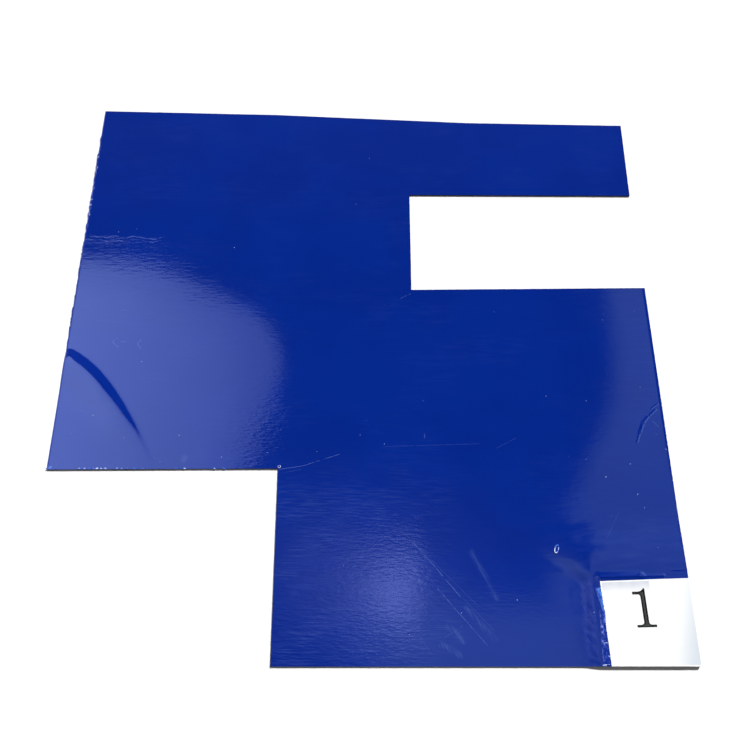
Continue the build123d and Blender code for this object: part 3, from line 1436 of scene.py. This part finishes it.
    def before(self, x: Value, y: Value, line: Line) -> Value:
        """Distance past a line.

        Args:
            x: Pad x of the point.
            y: Pad y of the point.
            line: Pad x and y of one end, then of the other.

        Returns:
            The distance, positive on the right of the line, seen from its first end.
        """
        x0, y0, x1, y1 = line
        length = math.hypot(x1 - x0, y1 - y0)
        nx, ny = (y1 - y0) / length, -(x1 - x0) / length
        return x * nx + (y * ny + -(nx * x0 + ny * y0))

    def left_window(self, x: Value, y: Value) -> Value:
        """Bright window on the left: within three lines with rounded joints, fading to the right.

        Args:
            x: Pad x of the point where the film mirrors the board.
            y: Pad y of that point.

        Returns:
            The brightness.
        """
        upper = self.before(x, y, (163.0, 259.5, 50.3, 313.5))
        lower = self.before(x, y, (147.0, 137.8, 171.0, 215.0))
        outside = upper.math("SMOOTH_MAX", lower, 95.0).math("SMOOTH_MAX", y - 313.0, 15.0)
        fade = x.step(-10.0, 172.0, 2.15, 0.85, Easing.EVEN)
        return outside.step(3.0, -3.5) * outside.step(-2.0, -42.0, 0.83, 1.03) * fade

    def right_window(self, x: Value, y: Value) -> Value:
        """Dimmer window on the right, whose near side swings out towards the tab.

        Its far right part is bright, and shows only in creases. It ends short of the far arm.

        Args:
            x: Pad x of the point where the film mirrors the board.
            y: Pad y of that point.

        Returns:
            The brightness.
        """
        left_of_tab = x.step(410.0, 385.0)
        band = (x - y.step(230.0, 40.0, 424.0, 357.0)).step(-7.0, 14.0)
        strength = y.step(60.0, 200.0, 0.34, 0.50) + x.step(474.0, 500.0) * 0.8
        band = band * strength * y.step(345.0, 300.0) * left_of_tab.at_least(y.step(22.0, 50.0))
        near = y.step(58.0, 22.0) * x.step(195.0, 290.0) * left_of_tab
        return band.at_least(near * 0.46)

    def ceiling_lamp(self, x: Value, y: Value) -> Value:
        """Lamp in the middle: a bell of light, cut off on the right, in wider and dimmer ones.

        Args:
            x: Pad x of the point where the film mirrors the board.
            y: Pad y of that point.

        Returns:
            The brightness.
        """
        cut = x.step(279.0, 266.0, 0.35, 1.0)
        bells = []
        for centre, spread, strength, share in (
            ((257.0, 51.0), (15.0, 13.0), 1.65, cut),
            ((238.0, 52.0), (27.0, 20.0), 0.50, cut),
            ((218.0, 62.0), (68.0, 34.0), 0.27, 1.0),
        ):
            u = (x - centre[0]) * (1.0 / spread[0])
            v = (y - centre[1]) * (1.0 / spread[1])
            bells.append(((u * u + v * v) * -0.5).math("EXPONENT") * share * strength)
        return reduce(Value.__add__, bells)

    def camera(self) -> None:
        """The camera: looking down at the pad from in front, with a phone's wide lens."""
        data = bpy.data.cameras.new("camera")
        data.sensor_width = 36.0
        data.lens = self.lens
        data.shift_x = self.shift_x
        data.clip_start = 0.01
        camera = bpy.data.objects.new("camera", data)
        height = self.pad.flat_underside + self.pad.film + self.camera_over_film
        camera.location = self.pad.point(self.camera_x, self.camera_y, height)
        camera.rotation_euler = (math.radians(self.camera_tilt), 0.0, 0.0)
        bpy.context.scene.collection.objects.link(camera)
        bpy.context.scene.camera = camera

    def build(self) -> None:
        """Set up the camera, the floor and every light."""
        self.camera()
        self.floor()
        self.world()
        self.key()
        self.board()


@dataclass
class StickyMat:
    """The whole mat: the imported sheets, tabs and liner with their finishes, and the new pieces."""

    pad: PadFrame
    body: str = "root"
    # Crumpled film beside the tab; its pale patches are painted glints.
    rucked: StretchedFilm = StretchedFilm(
        "rucked_blue_film_glints", (0.16, 0.22, 0.66), (0.002, 0.020, 0.26), (0.28, 0.44), 0.12
    )
    # Pale film of the burrs along the cuts: painted glints.
    torn: StretchedFilm = StretchedFilm(
        "burr_glint_pale_film", (0.50, 0.60, 0.95), (0.030, 0.110, 0.56), (0.36, 0.56)
    )
    # Light blue strip of film on the ramp beside the tab: a piece painted light to stand for the ramp's
    # reflection.
    sliver_reflection: StretchedFilm = StretchedFilm(
        "sliver_reflection_film", (0.075, 0.22, 0.66), (0.014, 0.060, 0.40), (0.30, 0.56)
    )
    lower_lip: Points = (
        (397.0, 36.0), (396.6, 24.7), (396.9, 21.5), (395.2, 16.9), (396.9, 13.1), (395.4, 8.0),
        (397.2, 4.8), (397.2, 0.6),
    )
    # Torn edge of the light blue strip of painted reflection.
    sliver_reflection_edge: Points = ((395.9, 51.0), (396.4, 42.0), (396.9, 33.0))

    def finish_nodes(self) -> dict[Slot, bpy.types.Material]:
        """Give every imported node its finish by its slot.

        Returns:
            The material of each slot.
        """
        finishes = zip(Slot, (TackyFilm(), TabLabel(), LinerFilm(), PrintInk()))
        materials = {slot: finish.build(self.pad) for slot, finish in finishes}
        slots = {part["node"]: Slot(part["material_slot"]) for part in frame["record"]["subparts"]}
        for name, node in frame["nodes"].items():
            node.data.materials.clear()
            node.data.materials.append(materials[slots[name]])
            LOG.info("%s: packed node, %s", name, slots[name].value)
        return materials

    def add(self, piece: bpy.types.Object, finish: bpy.types.Material, slot: Slot = Slot.FILM) -> None:
        """Dress a new piece and let it ride on the mat.

        Args:
            piece: The new piece.
            finish: Its material.
            slot: Not used.
        """
        piece.data.materials.append(finish)
        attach(piece, self.body)
        LOG.info("%s: %d faces", piece.name, len(piece.data.polygons))

    def build(self) -> None:
        """Build the pieces in order."""
        pad = self.pad
        materials = self.finish_nodes()
        film = materials[Slot.FILM]
        pale = StretchedFilm().build(pad)
        sheet = TopSheet(pad)
        top_film = sheet.build()
        self.add(top_film, film)
        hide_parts("film_sheet_01")
        self.add(Digit(pad).build(), materials[Slot.PRINT], Slot.PRINT)
        self.add(Rim(sheet, "puncture_rim", (367.9, 77.8), (1.2, 2.9), 0.95, -0.30, 5).build(), pale)
        self.add(Rim(sheet, "curled_corner_rim", (170.2, 138.0), (0.9, 0.9), 0.35, 0.0, 6).build(), pale)
        grains = Grains(sheet)
        self.add(grains.dust_and_glints(), pale)
        self.add(grains.burrs(), self.torn.build(pad))
        self.add(grains.bumps(), film)
        lower = CrumpledLip(pad, "rucked_film", self.lower_lip, (391.8, 393.2), 0.27, 31)
        # The light blue strip is painted reflection off the ramp beside the tab.
        upper = CrumpledLip(pad, "film_sliver_reflection", self.sliver_reflection_edge, (395.8, 392.0), 0.14, 37)
        self.add(lower.build(), self.rucked.build(pad))
        self.add(upper.build(), self.sliver_reflection.build(pad))


def main() -> None:
    """Build the studio and the mat."""
    logging.basicConfig(level=logging.INFO, format="%(message)s")
    bpy.context.scene.view_settings.view_transform = "Standard"
    pad = PadFrame()
    Studio(pad).build()
    StickyMat(pad).build()


if __name__ == "__main__":
    main()
